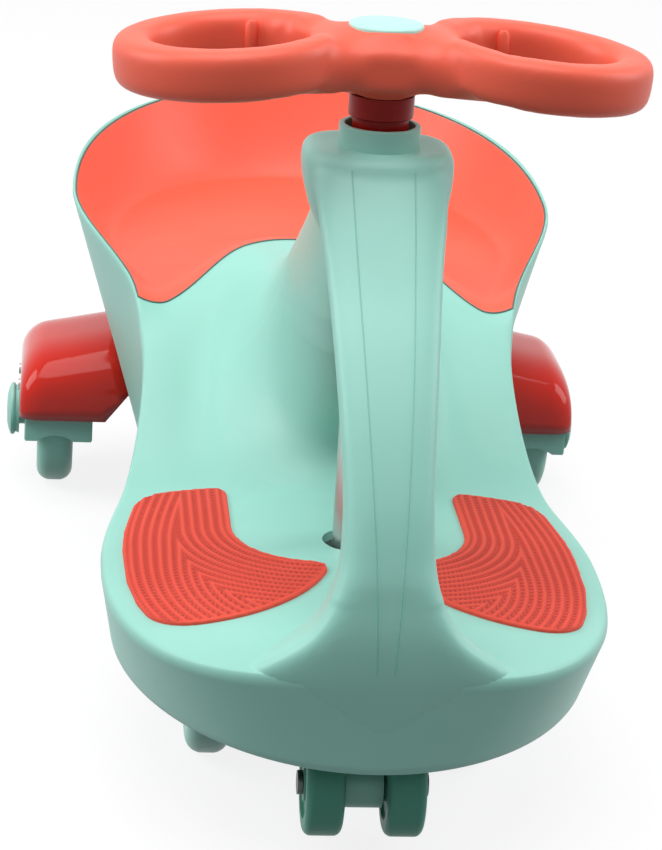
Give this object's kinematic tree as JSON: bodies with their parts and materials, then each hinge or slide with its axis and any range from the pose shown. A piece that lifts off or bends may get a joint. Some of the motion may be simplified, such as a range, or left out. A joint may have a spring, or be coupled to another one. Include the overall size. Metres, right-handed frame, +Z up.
{
  "type": "wiggle car",
  "caption": "Child's wiggle ride-on car: moulded foot deck and bucket seat on road wheels, with an arched steering pillar, a double-ring steering wheel and guard rollers at the nose.",
  "frame": {"origin": "on the ground, under the middle of the car's bounding box", "axes": "+Z up; the front of the car faces -Y; +X is on the right as seen from the front"},
  "size_m": [0.3722, 0.716, 0.39],
  "materials": {
    "mint_plastic": "satin moulded",
    "pale_mint_plastic": "satin moulded",
    "coral_plastic": "satin moulded",
    "deep_red_plastic": "satin moulded",
    "coral_rubber": "ribbed, soft",
    "gloss_red_plastic": "glossy",
    "mint_polyurethane": "smooth, slightly translucent",
    "wheel_core_plastic": "satin moulded",
    "bush_plastic": "smooth",
    "zinc_steel": "zinc plated"
  },
  "bodies": {
    "chassis": {"body_shell": "mint_plastic", "seat_insert": "coral_plastic", "foot_pad_left": "coral_rubber", "foot_pad_right": "coral_rubber", "upper_bush": "bush_plastic", "lower_bush": "bush_plastic", "rear_fork_left": "mint_plastic", "rear_fork_right": "mint_plastic", "fork_bolts": "zinc_steel", "fender_left": "gloss_red_plastic", "fender_right": "gloss_red_plastic", "fender_screws": "zinc_steel", "rear_axle_left": "zinc_steel", "rear_axle_right": "zinc_steel", "rear_axle_nuts": "zinc_steel", "rear_spacers": "bush_plastic", "axle_cap_left": "pale_mint_plastic", "axle_cap_right": "pale_mint_plastic", "seat_screws": "zinc_steel"},
    "steering": {"steering_wheel": "coral_plastic", "steering_cap": "pale_mint_plastic", "shaft_bolt": "zinc_steel", "steering_neck": "deep_red_plastic", "steering_shaft": "zinc_steel", "thrust_washer": "zinc_steel", "front_yoke": "mint_plastic", "yoke_pin": "zinc_steel", "front_axle_left": "zinc_steel", "front_axle_right": "zinc_steel", "front_spacers": "bush_plastic", "guard_axle": "zinc_steel", "guard_clips": "zinc_steel"},
    "front_wheel_left": {"front_tyre_left": "mint_polyurethane", "front_core_left": "wheel_core_plastic", "front_bearings_left": "zinc_steel"},
    "rear_wheel_left": {"rear_tyre_left": "mint_polyurethane", "rear_core_left": "wheel_core_plastic", "rear_bearings_left": "zinc_steel"},
    "guard_roller_left": {"guard_wheel_left": "mint_polyurethane"},
    "front_wheel_right": {"front_tyre_right": "mint_polyurethane", "front_core_right": "wheel_core_plastic", "front_bearings_right": "zinc_steel"},
    "rear_wheel_right": {"rear_tyre_right": "mint_polyurethane", "rear_core_right": "wheel_core_plastic", "rear_bearings_right": "zinc_steel"},
    "guard_roller_right": {"guard_wheel_right": "mint_polyurethane"}
  },
  "joints": [
    {"name": "steering_turn", "type": "hinge", "parent": "chassis", "child": "steering", "pos_m": [0, -0.19, 0.2], "axis": [0, 0, 1], "continuous": true},
    {"name": "front_wheel_left_spin", "type": "hinge", "parent": "steering", "child": "front_wheel_left", "pos_m": [-0.072, -0.19, 0.046], "axis": [1, 0, 0], "continuous": true},
    {"name": "guard_roller_left_spin", "type": "hinge", "parent": "steering", "child": "guard_roller_left", "pos_m": [-0.02, -0.298, 0.032], "axis": [1, 0, 0], "continuous": true},
    {"name": "rear_wheel_left_spin", "type": "hinge", "parent": "chassis", "child": "rear_wheel_left", "pos_m": [-0.1545, 0.214, 0.046], "axis": [1, 0, 0], "continuous": true},
    {"name": "front_wheel_right_spin", "type": "hinge", "parent": "steering", "child": "front_wheel_right", "pos_m": [0.072, -0.19, 0.046], "axis": [1, 0, 0], "continuous": true},
    {"name": "guard_roller_right_spin", "type": "hinge", "parent": "steering", "child": "guard_roller_right", "pos_m": [0.02, -0.298, 0.032], "axis": [1, 0, 0], "continuous": true},
    {"name": "rear_wheel_right_spin", "type": "hinge", "parent": "chassis", "child": "rear_wheel_right", "pos_m": [0.1545, 0.214, 0.046], "axis": [1, 0, 0], "continuous": true}
  ]
}
